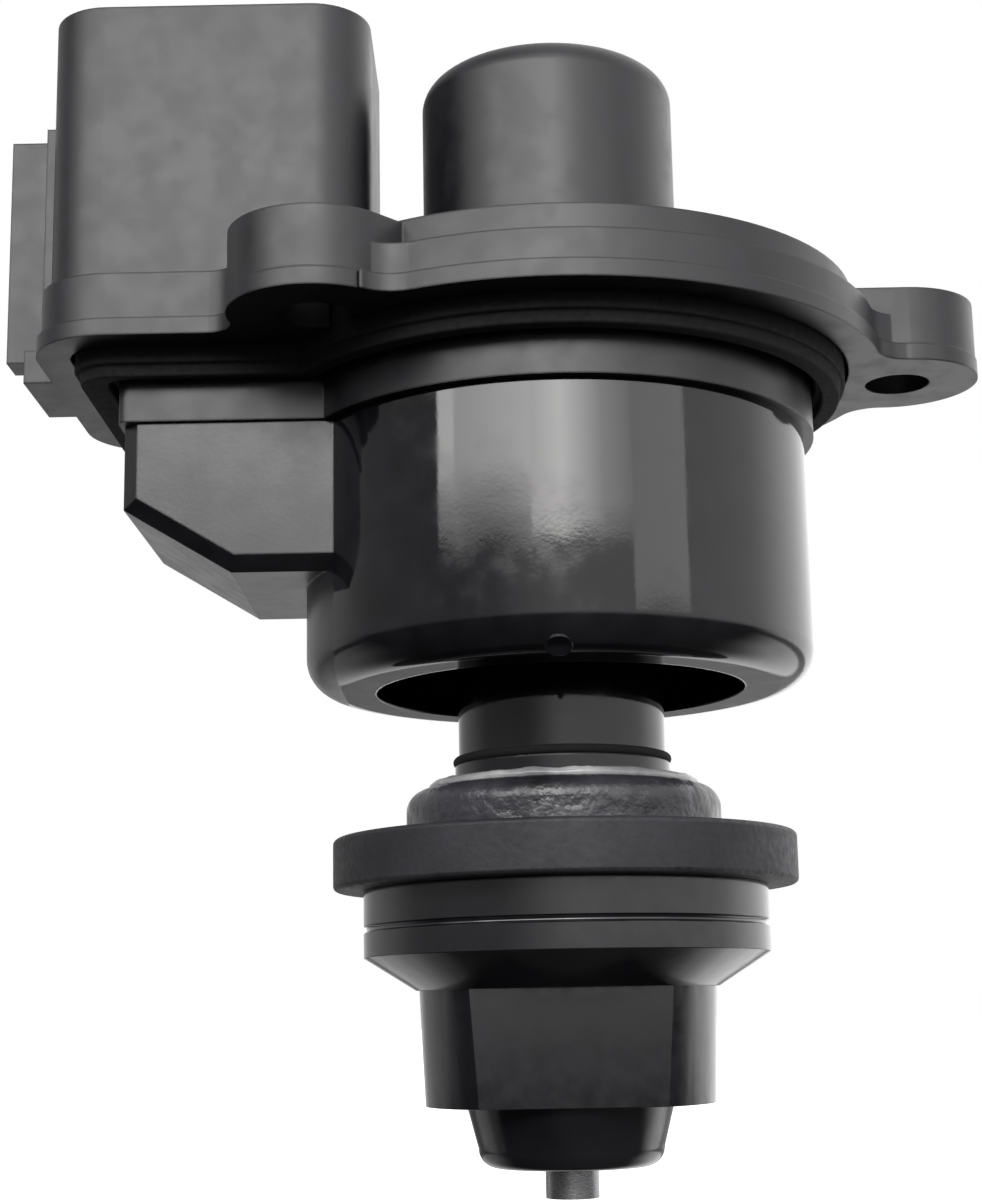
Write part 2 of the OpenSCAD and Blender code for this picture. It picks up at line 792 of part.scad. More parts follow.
module plug_seat_disc() {
    edge = 0.4;
    color(RUBBER) rotate_extrude() difference() {
        union() {
            translate([0, head_top + edge]) square([seat_r, seat_t - 2 * edge]);
            translate([0, head_top]) square([seat_r - edge, seat_t]);
            for (z = [head_top + edge, seat_top - edge]) translate([seat_r - edge, z]) circle(edge);
        }
        translate([-merge, head_top - merge]) square([plug_hub_r + seat_gap + merge, seat_t + 2 * merge]);
    }
}

module plug_profile() {
    difference() {
        union() {
            translate([0, head_top - merge]) square([plug_hub_r, collar_top - head_top + merge]);
            translate([0, head_bottom]) square([head_r, head_h]);
            polygon([
                [0, head_bottom], [head_r, head_bottom], [cone_r, cone_bottom],
                [nose_top_r, cone_bottom], [nose_top_r, barrel_bottom], [nose_r, nose_bottom + nose_round],
                [0, nose_bottom + nose_round]
            ]);
            translate([0, nose_bottom]) square([nose_r - nose_round, nose_round + merge]);
            translate([nose_r - nose_round, nose_bottom + nose_round]) circle(nose_round);
        }
        translate([head_r, head_top - head_h * 0.58]) circle(line_d);
        translate([-merge, nose_bottom - merge]) square([tip_r + seat_gap + merge, 2 * tip_end]);
    }
}

// The barrel under the cone: slightly tapered, with a flat at the front and one at the back
module plug_barrel() {
    flat = nose_top_r + barrel_flat_out;
    intersection() {
        rotate_extrude() polygon([
            [nose_top_r - merge, cone_bottom + merge], [barrel_top_r, cone_bottom + merge],
            [barrel_end_r, barrel_bottom], [nose_top_r - merge, barrel_bottom]
        ]);
        translate([-barrel_top_r, -flat, barrel_bottom - merge])
            cube([2 * barrel_top_r, 2 * flat, barrel_l + 2 * merge]);
    }
}

module plug_body() {
    color(HOUSING) difference() {
        union() {
            rotate_extrude() plug_profile();
            plug_barrel();
        }
        band(collar_top - stem_sunk - seat_gap, stem_sunk + 2 * merge) stem_outline(seat_gap);
    }
}

upper_housing();
motor_case();
body_seal();
terminal(1);  // terminal_1
terminal(2);  // terminal_2
terminal(3);  // terminal_3
terminal(4);  // terminal_4
terminal(5);  // terminal_5
terminal(6);  // terminal_6
upper_half() pole_cup();  // upper_pole_cup
upper_half() pole_plate();  // upper_pole_plate
upper_half() bobbin();  // upper_bobbin
upper_half() coil();  // upper_coil
pole_cup();  // lower_pole_cup
pole_plate();  // lower_pole_plate
bobbin();  // lower_bobbin
coil();  // lower_coil
outer_ring(rear_z, rear_ring_w, rear_r, rear_ball_r);  // rear_bearing_outer_ring
ball_set(rear_z, rear_ring_w, rear_r, rear_ball_r);  // rear_bearing_balls
inner_ring(rear_z, rear_ring_w, rear_r, rear_ball_r);  // rear_bearing_inner_ring
outer_ring(front_z, front_ring_w, front_r, front_ball_r);  // front_bearing_outer_ring
ball_set(front_z, front_ring_w, front_r, front_ball_r);  // front_bearing_balls
inner_ring(front_z, front_ring_w, front_r, front_ball_r);  // front_bearing_inner_ring
rotor_hub();
rotor_magnet();
lead_screw();
plug_collar();
plug_seat_disc();
plug_body();
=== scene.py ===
# %% [markdown]
# # Idle air control valve
# This valve lets a measured amount of air pass a closed throttle, so that the engine idles evenly.
# A small stepper motor in the black can turns a nut, and the nut pushes a plug in and out of an air seat.
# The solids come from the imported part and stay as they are. This lesson gives them their finishes, softens
# the pieces whose edges the eye can catch, and adds the small detail that a maker leaves on mouldings,
# windings and threads.

import json
import math

import bmesh
import bpy
from mathutils import Matrix, Vector

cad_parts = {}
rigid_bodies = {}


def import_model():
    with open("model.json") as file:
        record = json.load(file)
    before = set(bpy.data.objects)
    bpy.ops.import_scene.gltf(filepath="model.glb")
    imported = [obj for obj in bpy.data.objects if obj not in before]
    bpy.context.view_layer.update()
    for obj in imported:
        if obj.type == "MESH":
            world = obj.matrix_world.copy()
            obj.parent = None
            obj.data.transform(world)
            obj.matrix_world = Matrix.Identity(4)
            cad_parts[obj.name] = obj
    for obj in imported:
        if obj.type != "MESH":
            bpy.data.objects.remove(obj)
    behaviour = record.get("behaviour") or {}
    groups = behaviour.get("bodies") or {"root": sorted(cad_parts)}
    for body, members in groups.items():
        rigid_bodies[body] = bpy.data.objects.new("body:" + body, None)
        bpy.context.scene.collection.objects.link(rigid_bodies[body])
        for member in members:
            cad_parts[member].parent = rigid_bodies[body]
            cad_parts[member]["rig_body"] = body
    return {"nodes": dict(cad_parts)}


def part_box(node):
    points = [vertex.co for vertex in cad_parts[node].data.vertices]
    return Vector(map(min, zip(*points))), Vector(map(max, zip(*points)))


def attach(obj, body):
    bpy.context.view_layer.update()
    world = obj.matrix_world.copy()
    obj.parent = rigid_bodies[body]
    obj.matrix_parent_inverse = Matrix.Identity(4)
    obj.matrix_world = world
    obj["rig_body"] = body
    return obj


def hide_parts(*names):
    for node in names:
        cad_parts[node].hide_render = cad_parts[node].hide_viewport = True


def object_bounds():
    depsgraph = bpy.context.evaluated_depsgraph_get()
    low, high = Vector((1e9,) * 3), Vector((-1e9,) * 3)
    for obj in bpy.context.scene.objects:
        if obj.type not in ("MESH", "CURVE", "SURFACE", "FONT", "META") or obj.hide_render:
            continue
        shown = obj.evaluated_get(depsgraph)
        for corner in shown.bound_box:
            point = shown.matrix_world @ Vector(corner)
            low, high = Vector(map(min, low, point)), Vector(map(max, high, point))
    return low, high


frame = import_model()
cad_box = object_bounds()
NODES = frame["nodes"]
BODY_OF = {name: obj["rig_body"] for name, obj in NODES.items()}
MM = 0.001
print("CAD nodes:", len(NODES), "box:", [[round(v / MM, 1) for v in corner] for corner in cad_box])

# %% [markdown]
# ## The camera
# The photograph was taken from a hand's span away, at the height of the plug, looking slightly up.
# A camera can be placed by hand, by trial. Here its place and three angles were worked out from the flange,
# the can and the plug, whose sizes are known, so they are written down as plain values.

# %% Place the camera
PHOTO_WIDTH_PX, PHOTO_HEIGHT_PX = 982, 1200
FOCAL_PX = 2033.8
SENSOR_MM = 36.0
CAMERA_AT = Vector((-4.55, -153.2, -48.2)) * MM
PITCH, YAW, ROLL = 0.203, -0.004, -0.018

forward = Vector((math.sin(YAW) * math.cos(PITCH), math.cos(YAW) * math.cos(PITCH), math.sin(PITCH)))
level_right = Vector((math.cos(YAW), -math.sin(YAW), 0))
level_up = level_right.cross(forward)
right = level_right * math.cos(ROLL) + level_up * math.sin(ROLL)
up = level_up * math.cos(ROLL) - level_right * math.sin(ROLL)

lens = bpy.data.cameras.new("camera")
lens.sensor_fit = "VERTICAL"
lens.sensor_height = SENSOR_MM
lens.lens = FOCAL_PX * SENSOR_MM / PHOTO_HEIGHT_PX
lens.clip_start = 1 * MM
camera = bpy.data.objects.new("camera", lens)
bpy.context.scene.collection.objects.link(camera)
turn = Matrix((right, up, -forward)).transposed()
camera.matrix_world = Matrix.Translation(CAMERA_AT) @ turn.to_4x4()
bpy.context.scene.camera = camera
print("lens:", round(lens.lens, 1), "mm")

# %% [markdown]
# ## Working by hand, in code
# Each new piece starts as a primitive or as a joined copy of a solid, and is shaped in edit mode.
# An operator acts on all that is selected, so everything is deselected first, and then vertices, edges or
# faces are picked by where they are or which way they face. What several pieces need, such as winding a
# shape into a helix, is a small function of its own. Points that lie within a thousandth of a millimetre
# are welded to one, faces that tilt by less than half a degree are taken as flat, and an edge counts as
# sharp when its faces meet at more than 40 degrees.

# %% Helpers for modelling
WELD_MM = 0.001
FLAT_DEG = 0.5
SHARP_DEG = 40
FULL_TURN = 2 * math.pi
ORIGIN = (0, 0, 0)


def only(obj):
    """Selects one object alone, in object mode, and makes it active."""
    if bpy.context.object and bpy.context.object.mode != "OBJECT":
        bpy.ops.object.mode_set(mode="OBJECT")
    bpy.ops.object.select_all(action="DESELECT")
    obj.select_set(True)
    bpy.context.view_layer.objects.active = obj


def pick(obj, kind, test):
    """Enters edit mode and selects the vertices, edges or faces that pass a test."""
    only(obj)
    bpy.ops.object.mode_set(mode="EDIT")
    bpy.ops.mesh.select_mode(type=kind)
    bpy.ops.mesh.select_all(action="DESELECT")
    shape = bmesh.from_edit_mesh(obj.data)
    for item in {"VERT": shape.verts, "EDGE": shape.edges, "FACE": shape.faces}[kind]:
        item.select_set(test(item))
    shape.select_flush_mode()
    bmesh.update_edit_mesh(obj.data)


def pick_all(obj):
    pick(obj, "VERT", lambda v: True)


def new_piece(name, add_shape, **settings):
    """Adds one of Blender's primitives, selected alone, and names it."""
    bpy.ops.object.select_all(action="DESELECT")
    add_shape(**settings)
    piece = bpy.context.object
    piece.name = name
    return piece


def stand_up(obj):
    """Turns a new flat shape upright, into the XZ plane."""
    pick_all(obj)
    bpy.ops.transform.rotate(value=math.pi / 2, orient_axis="X", center_override=ORIGIN)


def apply_modifier(obj, kind, **settings):
    """Gives an object a modifier with its settings, and applies it."""
    only(obj)
    modifier = obj.modifiers.new(kind.title(), kind)
    for name, value in settings.items():
        setattr(modifier, name, value)
    bpy.ops.object.modifier_apply(modifier=modifier.name)


def wind(obj, pitch_mm, turns, steps, sides):
    """Carries an upright outline round and up the Z axis as a helix, and closes its two ends."""
    apply_modifier(obj, "SCREW", axis="Z", angle=FULL_TURN, screw_offset=pitch_mm * MM, iterations=turns,
                   steps=steps, render_steps=steps, use_merge_vertices=False)
    pick_all(obj)
    bpy.ops.mesh.fill_holes(sides=sides)
    bpy.ops.mesh.normals_make_consistent(inside=False)


def settle(obj, body, finish, smooth_angle=35):
    """Puts the piece's place into its mesh, smooths it, and gives it its body, slot and finish.

    Two faces that meet at more than the smooth angle, in degrees, keep a crisp edge between them.
    """
    only(obj)
    bpy.ops.object.transform_apply(location=True, rotation=True, scale=True)
    bpy.ops.object.shade_smooth_by_angle(angle=math.radians(smooth_angle))
    obj.data.materials.clear()
    obj.data.materials.append(finish)
    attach(obj, body)
    print(f"{obj.name}: {len(obj.data.polygons)} faces on {body}")


def joined_copy(node_name, name):
    """Copies a solid, joins its loose triangles and dissolves the lines inside flat faces."""
    piece = bpy.data.objects.new(name, NODES[node_name].data.copy())
    bpy.context.scene.collection.objects.link(piece)
    pick_all(piece)
    bpy.ops.mesh.remove_doubles(threshold=WELD_MM * MM)
    bpy.ops.mesh.dissolve_limited(angle_limit=math.radians(FLAT_DEG))
    bpy.ops.object.mode_set(mode="OBJECT")
    return piece


def softened(node_name, radius_mm, finish, smooth_angle=35):
    """Stands in for a solid with the same piece whose sharp edges are rounded."""
    piece = joined_copy(node_name, node_name + "_soft")
    apply_modifier(piece, "BEVEL", width=radius_mm * MM, segments=2, limit_method="ANGLE",
                   angle_limit=math.radians(SHARP_DEG))
    settle(piece, BODY_OF[node_name], finish, smooth_angle)
    apply_modifier(piece, "WEIGHTED_NORMAL", keep_sharp=True, mode="FACE_AREA_WITH_ANGLE")
    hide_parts(node_name)


# %% [markdown]
# ## Building a finish
# A finish is a small tree of shader nodes. One function adds a node: its inputs are either values or the
# outputs of other nodes. Colours are written as the hex values that a paint program shows, and one
# function turns them to the linear values that light is worked out in. Pattern sizes are real sizes in
# millimetres, turned to the scale that Object coordinates in metres need. Most values of Blender's noise lie
# between 0.3 and 0.7, so that span is stretched over the two values that a finish asks for.

# %% Helpers for finishes
NOISE_LOW, NOISE_HIGH = 0.3, 0.7


def linear(hex_colour):
    """sRGB hex to linear RGBA."""
    parts = [int(hex_colour[i:i + 2], 16) / 255 for i in (1, 3, 5)]
    return [p / 12.92 if p <= 0.04045 else ((p + 0.055) / 1.055) ** 2.4 for p in parts] + [1.0]


def per(size_mm):
    """The scale at which one pattern cell is this many millimetres."""
    return 1 / (size_mm * MM)


def add(tree, kind, inputs=None, **settings):
    """Adds a node with its settings; an input is a value or another node's output."""
    node = tree.nodes.new("ShaderNode" + kind)
    for name, value in settings.items():
        setattr(node, name, value)
    for name, value in (inputs or {}).items():
        if isinstance(value, bpy.types.NodeSocket):
            tree.links.new(value, node.inputs[name])
        else:
            node.inputs[name].default_value = value
    return node


def new_finish(name):
    """A material with no nodes but the place that its patterns go by."""
    finish = bpy.data.materials.new(name)
    finish.use_nodes = True
    finish.node_tree.nodes.clear()
    place = add(finish.node_tree, "TexCoord").outputs["Object"]
    return finish, finish.node_tree, place


def speckle(tree, place, size_mm, low, high, stretch=(1, 1, 1), detail=2.0):
    """Noise of one grain size between two values, stretched where the real grain is."""
    mapped = add(tree, "Mapping", {"Vector": place, "Scale": stretch}).outputs["Vector"]
    noise = add(tree, "TexNoise", {"Vector": mapped, "Scale": per(size_mm), "Detail": detail})
    return add(tree, "MapRange", {"Value": noise.outputs["Fac"], "From Min": NOISE_LOW,
                                  "From Max": NOISE_HIGH, "To Min": low,
                                  "To Max": high}).outputs["Result"]


def ramp(tree, value, start, end, low, high):
    """Eases from low to high while the value goes from start to end."""
    return add(tree, "MapRange", {"Value": value, "From Min": start, "From Max": end, "To Min": low,
                                  "To Max": high}, interpolation_type="SMOOTHSTEP").outputs["Result"]


def spread(tree, value, low, high):
    """Goes evenly from low to high while the value goes from 0 to 1."""
    return add(tree, "MapRange", {"Value": value, "To Min": low, "To Max": high}).outputs["Result"]


def product(tree, first, second):
    """Multiplies two values."""
    return add(tree, "Math", {0: first, 1: second}, operation="MULTIPLY").outputs[0]


def blend(tree, factor, first, second):
    """Goes from the first value to the second while the factor goes from 0 to 1."""
    return add(tree, "Mix", {0: factor, 2: first, 3: second}, data_type="FLOAT").outputs[0]


def bumps(tree, height, strength, depth_mm, over=None):
    """Tilts the skin by a pattern of heights, over another tilt where one is given."""
    inputs = {"Height": height, "Strength": strength, "Distance": depth_mm * MM}
    if over is not None:
        inputs["Normal"] = over
    return add(tree, "Bump", inputs).outputs["Normal"]


def two_tones(tree, factor, dark, light):
    """Mixes two hex colours by a factor."""
    mix = add(tree, "Mix", {0: factor, 6: linear(dark), 7: linear(light)}, data_type="RGBA")
    return mix.outputs[2]


def close(tree, inputs):
    """Ends a finish with its shader and output."""
    shader = add(tree, "BsdfPrincipled", inputs)
    add(tree, "OutputMaterial", {"Surface": shader.outputs["BSDF"]})


# %% [markdown]
# ## Glass-filled nylon
# The two mouldings that form the body are PA66 with about a third of short glass fibre, moulded in black.
# The mould for the upper housing was spark eroded, which leaves a fine satin grain. The mould for the motor
# case was turned and polished where it is round, so the can shines, and was left dull on the flat sides of
# the block. That is why one shader mixes two roughnesses by place. Handling and dust leave soft smudges,
# which dull the shine in patches a few millimetres wide and make the matt skin a little paler. Edges are
# never razor sharp, so the shader rounds them a little.

# %% Glass-filled nylon finish
EDGE_ROUND_MM = 0.22
POLISH_FADE_MM = 0.3


def glass_filled_nylon(name, dark, light, dull, shine, polished_from_mm):
    """Black moulded nylon; dull and shine are roughness spans, and the polish starts at an X place.

    Where it is polished, the grain is also shallower.
    """
    finish, tree, place = new_finish(name)
    cloud = speckle(tree, place, 7, 0, 1, detail=1.5)
    smudge = speckle(tree, place, 2.2, 0, 1, detail=6)
    # The real grain is about 0.05 mm; it is drawn at 0.3 mm so that it shows
    grain = speckle(tree, place, 0.3, 0, 1)
    x = add(tree, "SeparateXYZ", {"Vector": place}).outputs["X"]
    polished = ramp(tree, x, (polished_from_mm - POLISH_FADE_MM) * MM, polished_from_mm * MM, 0, 1)
    rough_dull = ramp(tree, smudge, 0, 1, *dull)
    rough_shine = ramp(tree, smudge, 0.25, 1, *shine)
    rough = blend(tree, polished, rough_dull, rough_shine)
    round_edge = add(tree, "Bevel", {"Radius": EDGE_ROUND_MM * MM}, samples=4).outputs["Normal"]
    # Shrinkage as the nylon cools leaves shallow waves on its skin
    wave = bumps(tree, cloud, 0.3, 0.03, over=round_edge)
    grain_height = product(tree, grain, ramp(tree, polished, 0, 1, 1, 0.25))
    skin = bumps(tree, grain_height, 0.25, 0.008, over=wave)
    close(tree, {"Base Color": two_tones(tree, smudge, dark, light), "Roughness": rough, "IOR": 1.53,
                 "Normal": skin})
    return finish


# The housing has one roughness all over, and only its grain is shallower to the right of the axis
housing_finish = glass_filled_nylon("glass_filled_nylon_textured", "#0f0f12", "#1b1b20",
                                    (0.36, 0.43), (0.36, 0.43), 0)
case_finish = glass_filled_nylon("glass_filled_nylon_polished", "#0e0e11", "#17171b",
                                 (0.28, 0.34), (0.05, 0.11), -16.3)
print("nylon finishes ready")

# %% [markdown]
# ## Rubber and the plug's plastic
# The body seal and the disc that closes on the air seat are moulded rubber: nearly no gloss, a soft grey
# bloom, and tiny pits. The plug is a dense engineering plastic with a satin skin, and it bends light more
# than rubber does, so its rims shine. The collar carries a film of grease, which makes it uneven. All are
# one shader with their own tones, roughness and pits.

# %% Rubber and plug finishes
def moulded_rubber(name, dark, light, rough_low, rough_high, pit_depth_mm=0.03, pit_mm=0.5, ior=1.52):
    """A skin with a cloudy bloom and small pits, which make its roughness vary too."""
    finish, tree, place = new_finish(name)
    bloom = speckle(tree, place, 5, 0, 1, detail=5)
    pits = speckle(tree, place, pit_mm, 0, 1, detail=3)
    close(tree, {"Base Color": two_tones(tree, bloom, dark, light),
                 "Roughness": spread(tree, pits, rough_low, rough_high), "IOR": ior,
                 "Normal": bumps(tree, pits, 0.35, pit_depth_mm)})
    return finish


# The seal's near-black tones are partly black rubber and partly painted shade, for the deep shadow it lies
# in under the flange.
seal_and_shade_finish = moulded_rubber("seal_rubber_with_painted_shade", "#070708", "#0f0f10", 0.82, 0.95)
disc_finish = moulded_rubber("moulded_seat_rubber", "#17171b", "#29292f", 0.48, 0.64, ior=1.45)
plug_finish = moulded_rubber("satin_plug_plastic", "#0e0e11", "#18181c", 0.1, 0.19, 0.002,
                             pit_mm=1.1, ior=1.62)
collar_finish = moulded_rubber("greased_collar_plastic", "#1a1a1d", "#3a3a40", 0.16, 0.42, 0.2, pit_mm=1.2)
# The grease's pale tones are partly a painted highlight, for the bright ring along the collar's top.
grease_highlight_finish = moulded_rubber("grease_with_painted_highlight", "#5d5d60", "#bdbdbe", 0.1, 0.22, 0.06,
                               pit_mm=1.0, ior=1.47)
print("rubber and plug finishes ready")

# %% [markdown]
# ## Metals inside
# Pole cups are drawn from soft steel sheet and zinc plated, the bearings are ground steel, the screw is
# turned from stainless steel, the terminals are brass with a tin skin, and the windings are copper wire
# under clear enamel. Each metal keeps the default IOR, since the metallic setting makes its reflection,
# and differs in tone, roughness and the direction of its marks.

# %% Metal finishes
def worked_metal(name, dark, light, rough_low, rough_high, mark_mm, stretch):
    """A bare metal; its marks lie closer along an axis whose stretch is above 1."""
    finish, tree, place = new_finish(name)
    marks = speckle(tree, place, mark_mm, 0, 1, stretch=stretch, detail=3)
    cloud = speckle(tree, place, 3, 0, 1, detail=4)
    close(tree, {"Base Color": two_tones(tree, cloud, dark, light), "Metallic": 1.0,
                 "Roughness": spread(tree, marks, rough_low, rough_high),
                 "Normal": bumps(tree, marks, 0.3, 0.01)})
    return finish


pole_finish = worked_metal("zinc_plated_sheet", "#8f9298", "#b4b6ba", 0.35, 0.5, 0.6, (1, 1, 1))
bearing_finish = worked_metal("ground_bearing_steel", "#a9abae", "#c9cacc", 0.12, 0.22, 0.3, (1, 1, 6))
screw_finish = worked_metal("turned_stainless_screw", "#8c8c8e", "#b0b0b2", 0.22, 0.34, 0.3, (1, 1, 6))
terminal_finish = worked_metal("tinned_brass_strip", "#b3ac9c", "#d2cdc2", 0.22, 0.38, 0.4, (1, 1, 0.2))
wire_finish = worked_metal("enamelled_copper_wire", "#9a4a22", "#c36a35", 0.2, 0.32, 0.5, (1, 1, 1))
print("metal finishes ready")

# %% [markdown]
# ## Bobbin nylon and ferrite
# The bobbins are natural nylon, which lets a little light in, so they get some subsurface colour.
# The rotor's magnet is sintered ferrite: charcoal grey, dry, with a coarse grain from the press.

# %% Bobbin and magnet finishes
def natural_nylon(name):
    finish, tree, place = new_finish(name)
    cloud = speckle(tree, place, 6, 0, 1, detail=3)
    close(tree, {"Base Color": two_tones(tree, cloud, "#cfc8b2", "#e2dcc9"),
                 "Roughness": spread(tree, cloud, 0.36, 0.48), "IOR": 1.53,
                 "Subsurface Weight": 0.2, "Subsurface Scale": 0.8 * MM})
    return finish


nylon_finish = natural_nylon("natural_moulded_nylon")
ferrite_finish = moulded_rubber("sintered_ferrite", "#2f3033", "#45464a", 0.55, 0.8, 0.04)
print("bobbin and magnet finishes ready")

# %% [markdown]
# ## Finishes on the solids
# A solid whose shape is right stays and only gets its finish, by its material slots.

# %% Give each solid its finish
FINISH_OF = {
    "upper_housing": housing_finish, "motor_case": case_finish, "body_seal": seal_and_shade_finish,
    "rotor_hub": nylon_finish, "rotor_magnet": ferrite_finish, "lead_screw": screw_finish,
    "plug_collar": collar_finish, "plug_seat_disc": disc_finish, "plug_body": plug_finish,
}
for part, kind in (("pole_cup", pole_finish), ("pole_plate", pole_finish), ("bobbin", nylon_finish),
                   ("coil", wire_finish)):
    FINISH_OF.update({f"{half}_{part}": kind for half in ("upper", "lower")})
for name in NODES:
    finish = FINISH_OF.get(name, terminal_finish if name.startswith("terminal") else bearing_finish)
    NODES[name].data.materials.clear()
    NODES[name].data.materials.append(finish)
print("solids with a finish:", len(NODES))

# %% [markdown]
# ## Softer edges on the plug and the seal
# Rubber never leaves its mould with a sharp edge, and the plug's barrel, flats and shoulders have a small
# radius where the mould was cut. Each of these pieces is a joined copy of its solid with a bevel on its
# sharp edges, cut from the size of the solid, so that the outline stays. The rubber is smooth across its
# rounded edges. On the plug the narrow edges are kept apart from the wide faces beside them, because their
# tilt would streak the shine of the cone.

# %% Round the edges of the seal and the plug
softened("body_seal", 0.25, seal_and_shade_finish)
softened("plug_seat_disc", 0.2, disc_finish)
softened("plug_body", 0.15, plug_finish, smooth_angle=12)

# %% [markdown]
# ## The lead screw
# The screw is turned from stainless bar. Its thread has a 2 mm lead, so one turn of the nut moves the plug
# by 2 mm. The core is the solid with its threaded length drawn in to the root of the thread. The thread
# is one tooth, a plane bent to a trapezoid, that a screw modifier winds up the core.

# %% Cut the thread
LEAD_MM = 2.0
THREAD_R_MM, ROOT_R_MM = 2.98, 2.35
STEM_TOP_MM, SCREW_TOP_MM = -16.0, 20.0
SOLID_R_MM = 3.0
TOOTH_SUNK_MM = 0.2
FIRST_TURN_MM = STEM_TOP_MM + 0.6
TOOTH_ROOT_SHARE, TOOTH_CREST_SHARE = 0.55, 0.45
TAPERED_END_MM = 2.2

screw = joined_copy("lead_screw", "lead_screw_core")
pick(screw, "VERT",
     lambda v: v.co.z > (STEM_TOP_MM - 0.01) * MM and v.co.xy.length < (SOLID_R_MM + 0.05) * MM)
core_share = ROOT_R_MM / SOLID_R_MM
bpy.ops.transform.resize(value=(core_share, core_share, 1), center_override=ORIGIN)
settle(screw, "plug", screw_finish)
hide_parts("lead_screw")

tooth_h = THREAD_R_MM - ROOT_R_MM + TOOTH_SUNK_MM
tooth_middle = ROOT_R_MM - TOOTH_SUNK_MM + tooth_h / 2
thread = new_piece("lead_screw_thread", bpy.ops.mesh.primitive_plane_add, size=1)
stand_up(thread)
bpy.ops.transform.resize(value=(tooth_h * MM, 1, TOOTH_ROOT_SHARE * LEAD_MM * MM), center_override=ORIGIN)
bpy.ops.transform.translate(value=(tooth_middle * MM, 0, FIRST_TURN_MM * MM))
pick(thread, "VERT", lambda v: v.co.x > (THREAD_R_MM - 0.05) * MM)
bpy.ops.transform.resize(value=(1, 1, TOOTH_CREST_SHARE), center_override=(0, 0, FIRST_TURN_MM * MM))
pick(thread, "FACE", lambda f: True)
bpy.ops.mesh.delete(type="ONLY_FACE")
wind(thread, LEAD_MM, int((SCREW_TOP_MM - STEM_TOP_MM - TAPERED_END_MM) / LEAD_MM), steps=36, sides=4)
settle(thread, "plug", screw_finish)

# %% [markdown]
# ## The windings
# Each bobbin is wound with enamelled copper wire. Only the outer layer can be seen, so it is one helix of
# wire on each coil: a small circle that a screw modifier carries round and up. The real wire is about
# 0.2 mm thick; it is drawn at 0.4 mm so that the turns can be told apart and the mesh stays light.

# %% Wind the outer layer
WIRE_MM = 0.4
WIRE_SIDES = 8

coil_low, coil_high = (Vector(corner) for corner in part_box("lower_coil"))
wire_turns = int((coil_high.z - coil_low.z) / (WIRE_MM * MM)) - 1
winding = new_piece("lower_winding", bpy.ops.mesh.primitive_circle_add, vertices=WIRE_SIDES,
                    radius=WIRE_MM * MM / 2)
stand_up(winding)
bpy.ops.transform.translate(value=(coil_high.x, 0, coil_low.z + WIRE_MM * MM / 2))
wind(winding, WIRE_MM, wire_turns, steps=64, sides=WIRE_SIDES)
bpy.ops.object.mode_set(mode="OBJECT")
upper_winding = winding.copy()
upper_winding.data = winding.data.copy()
upper_winding.name = "upper_winding"
bpy.context.scene.collection.objects.link(upper_winding)
pick_all(upper_winding)
bpy.ops.transform.translate(value=(0, 0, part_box("upper_coil")[0][2] - coil_low.z))
for piece in (winding, upper_winding):
    settle(piece, "housing", wire_finish, smooth_angle=60)

# %% [markdown]
# ## Rings round the neck
# A thin ring lies on the lip at the foot of the neck. Its near-black matt finish is painted shade, which
# stands for the shadow in the groove there. A bead of grease lies on the collar beside it, and its pale tone
# is partly a painted highlight along the collar's top. Each starts as a small circle at its place, and the
# spin tool sweeps it round the plug's axis. The ring gets a flat back, and the grease is made uneven with a
# random shift of its points, whose seed is fixed, and then smoothed.

# %% Spin the rings round the neck
def swept_ring(name, radius_mm, height_mm, size_mm, steps, flat_back=False):
    """A ring round the Z axis from a circle of two half sizes, across and up."""
    across_mm, up_mm = size_mm
    ring = new_piece(name, bpy.ops.mesh.primitive_circle_add, vertices=12, radius=1 * MM)
    stand_up(ring)
    bpy.ops.transform.resize(value=(across_mm, 1, up_mm), center_override=ORIGIN)
    if flat_back:
        back_x = -0.5 * across_mm * MM
        pick(ring, "VERT", lambda v: v.co.x < back_x)
        bpy.ops.transform.resize(value=(0, 1, 1), center_override=(back_x, 0, 0))
    pick_all(ring)
    bpy.ops.transform.translate(value=(radius_mm * MM, 0, height_mm * MM))
    bpy.ops.mesh.spin(steps=steps, angle=FULL_TURN, center=ORIGIN, axis=(0, 0, 1))
    pick_all(ring)
    bpy.ops.mesh.remove_doubles(threshold=WELD_MM * MM)
    bpy.ops.mesh.normals_make_consistent(inside=False)
    return ring


NECK_R_MM, LIP_R_MM, LIP_TOP_MM = 7.8, 8.1, -29.6
COLLAR_TOP_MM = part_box("plug_collar")[1][2] / MM
GREASE_SHIFT_MM = 0.16
SHADE_RING_HALF_MM, GREASE_HALF_MM = (0.3, 0.34), (0.8, 0.5)

# Near-black and matt: painted shade for the shadow in the groove at the neck's foot.
shade_ring_finish = moulded_rubber("painted_shade_ring", "#050506", "#0b0b0c", 0.85, 0.95)
shade_ring = swept_ring("neck_shade_ring", NECK_R_MM + 0.14, LIP_TOP_MM + SHADE_RING_HALF_MM[1], SHADE_RING_HALF_MM, 96,
                   flat_back=True)
settle(shade_ring, "housing", shade_ring_finish, smooth_angle=60)

# A bead of grease whose pale tone partly paints the highlight along the collar's top.
grease = swept_ring("grease_highlight_bead", LIP_R_MM + 1.3, COLLAR_TOP_MM + 0.2, GREASE_HALF_MM, 120)
pick(grease, "VERT", lambda v: v.co.z > COLLAR_TOP_MM * MM)
bpy.ops.transform.vertex_random(offset=GREASE_SHIFT_MM * MM, uniform=0.4, normal=0.6, seed=7)
bpy.ops.mesh.vertices_smooth(factor=0.5, repeat=2)
settle(grease, "plug", grease_highlight_finish, smooth_angle=80)

